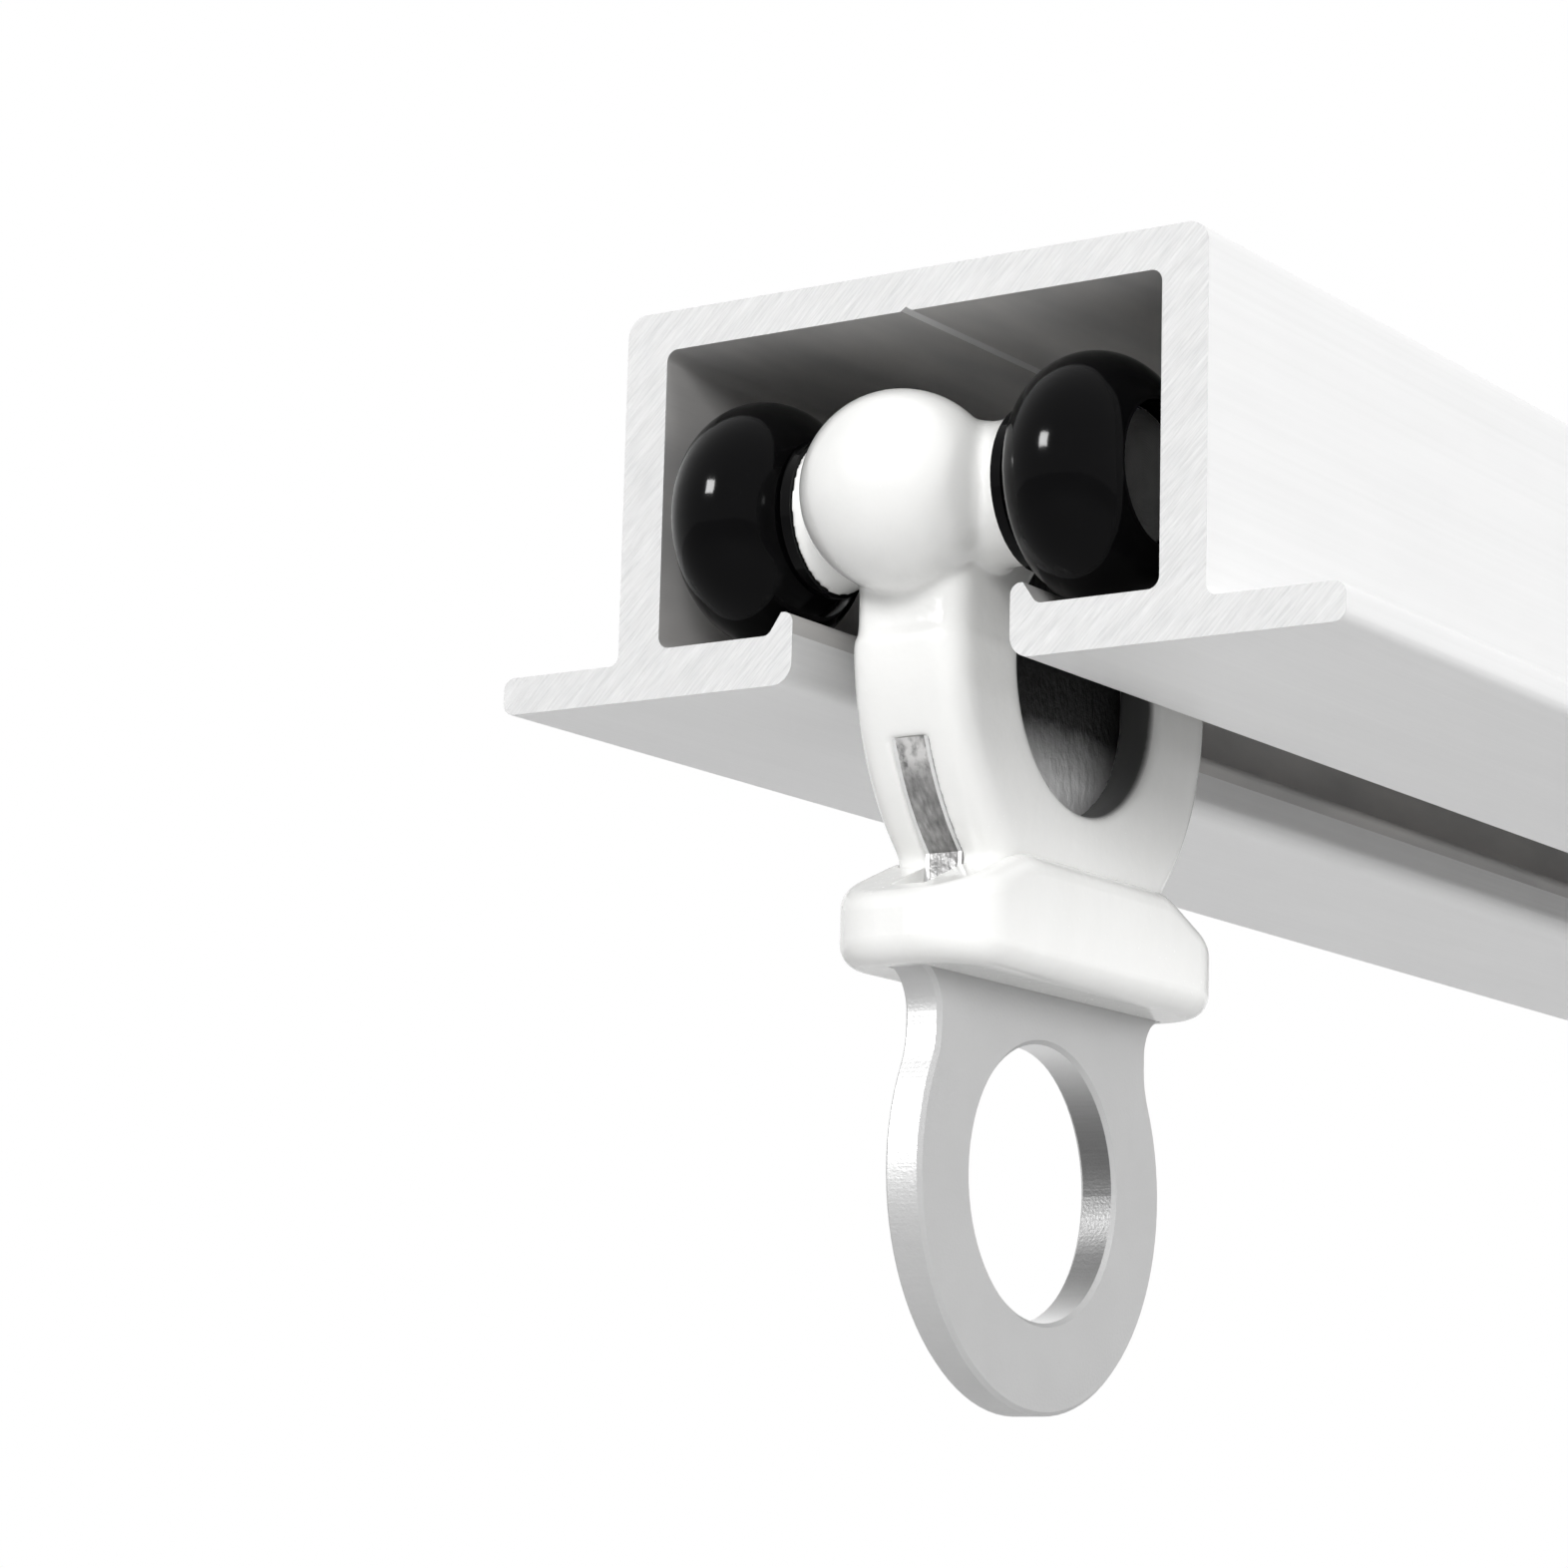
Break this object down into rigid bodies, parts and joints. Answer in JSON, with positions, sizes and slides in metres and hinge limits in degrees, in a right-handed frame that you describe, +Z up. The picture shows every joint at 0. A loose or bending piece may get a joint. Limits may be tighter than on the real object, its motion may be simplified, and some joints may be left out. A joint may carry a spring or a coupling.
{
  "type": "ceiling curtain track",
  "caption": "Recessed ceiling curtain track: a slotted extruded channel with side flanges, and a wheeled runner with a hanging ring that rolls along inside it.",
  "frame": {"origin": "middle of the channel's top face, halfway along the track", "axes": "+X across the track, +Y along it from the runner's resting end to the other end, +Z up to the ceiling"},
  "size_m": [0.035, 0.2037, 0.04],
  "materials": {
    "track_aluminium": "satin anodised, saw-cut at the ends",
    "white_moulding": "glossy moulded plastic",
    "black_wheel": "polished black plastic",
    "plate_steel": "matt zinc grey, sheared edges",
    "axle_steel": "dark steel with a bright bevelled rim"
  },
  "bodies": {
    "track": {"track_profile": "track_aluminium"},
    "carriage": {"carriage_body": "white_moulding", "collar": "white_moulding", "hanger_plate": "plate_steel", "front_axle": "axle_steel", "front_axle_cap": "axle_steel", "front_left_spacer": "black_wheel", "front_right_spacer": "black_wheel", "rear_axle": "axle_steel", "rear_axle_cap": "axle_steel", "rear_left_spacer": "black_wheel", "rear_right_spacer": "black_wheel"},
    "front_left_wheel": {"front_left_wheel": "black_wheel"},
    "front_right_wheel": {"front_right_wheel": "black_wheel"},
    "rear_left_wheel": {"rear_left_wheel": "black_wheel"},
    "rear_right_wheel": {"rear_right_wheel": "black_wheel"}
  },
  "joints": [
    {"name": "runner_slide", "type": "slide", "parent": "track", "child": "carriage", "axis": [0, 1, 0], "range_m": [0, 0.1816]},
    {"name": "front_left_spin", "type": "hinge", "parent": "carriage", "child": "front_left_wheel", "pos_m": [0, -0.09795, -0.00812], "axis": [1, 0, 0], "continuous": true},
    {"name": "front_right_spin", "type": "hinge", "parent": "carriage", "child": "front_right_wheel", "pos_m": [0, -0.09795, -0.00812], "axis": [1, 0, 0], "continuous": true},
    {"name": "rear_left_spin", "type": "hinge", "parent": "carriage", "child": "rear_left_wheel", "pos_m": [0, -0.08365, -0.00812], "axis": [1, 0, 0], "continuous": true},
    {"name": "rear_right_spin", "type": "hinge", "parent": "carriage", "child": "rear_right_wheel", "pos_m": [0, -0.08365, -0.00812], "axis": [1, 0, 0], "continuous": true}
  ],
  "couplings": [
    {"joint": "front_left_spin", "follows": "runner_slide", "rad_per_m": -219.78},
    {"joint": "front_right_spin", "follows": "runner_slide", "rad_per_m": -219.78},
    {"joint": "rear_left_spin", "follows": "runner_slide", "rad_per_m": -219.78},
    {"joint": "rear_right_spin", "follows": "runner_slide", "rad_per_m": -219.78}
  ]
}
